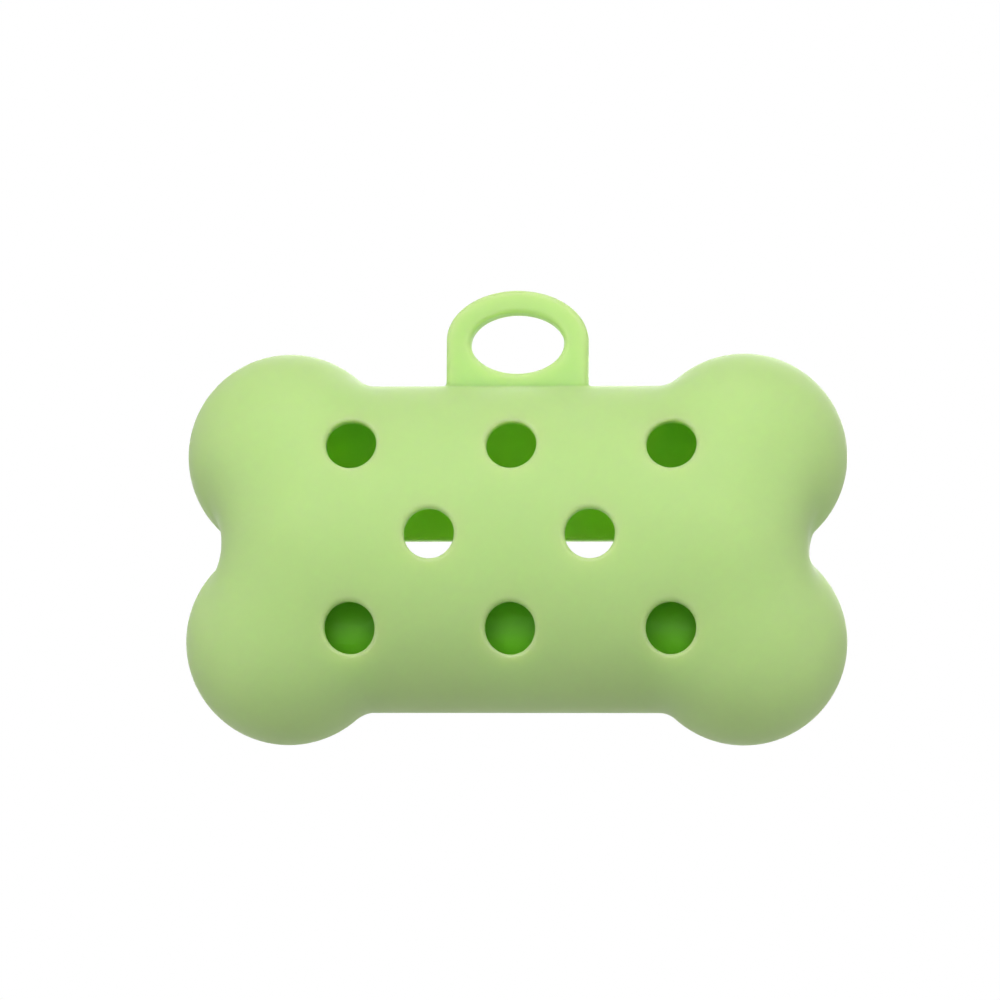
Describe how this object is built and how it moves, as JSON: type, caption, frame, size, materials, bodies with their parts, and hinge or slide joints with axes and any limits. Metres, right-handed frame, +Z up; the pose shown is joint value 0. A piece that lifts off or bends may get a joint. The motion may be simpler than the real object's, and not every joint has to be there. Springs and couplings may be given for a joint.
{
  "type": "dog waste bag dispenser",
  "caption": "Bone-shaped silicone holder with an oval hanging loop, round sight holes in front and a long slot behind, around a part-used roll of bags that turns as the lead bag is pulled.",
  "frame": {"origin": "centre of the hanging loop's oval hole, in the bone's middle plane", "axes": "+X along the bone, to the right seen from the front; the sight holes face -Y and the slot faces +Y; +Z up, as the holder hangs"},
  "size_m": [0.0902, 0.0407, 0.0624],
  "materials": {
    "silicone": "smooth matte light green silicone",
    "cardboard": "plain brown spiral-wound cardboard",
    "bag_film": "thin green polyethylene film, folded and wound"
  },
  "bodies": {
    "holder": {"silicone_body": "silicone"},
    "roll": {"roll_core": "cardboard", "last_bag": "bag_film", "middle_bag": "bag_film", "lead_bag_turns": "bag_film"},
    "lead_bag": {"lead_bag_tail": "bag_film"}
  },
  "joints": [
    {"name": "roll_spin", "type": "hinge", "parent": "holder", "child": "roll", "pos_m": [0, 0, -0.03935], "axis": [-1, 0, 0], "range_deg": [0, 79]},
    {"name": "bag_pull", "type": "slide", "parent": "holder", "child": "lead_bag", "axis": [0, 1, 0], "range_m": [0, 0.012]}
  ],
  "couplings": [
    {"joint": "bag_pull", "follows": "roll_spin", "m_per_rad": 0.0087}
  ]
}
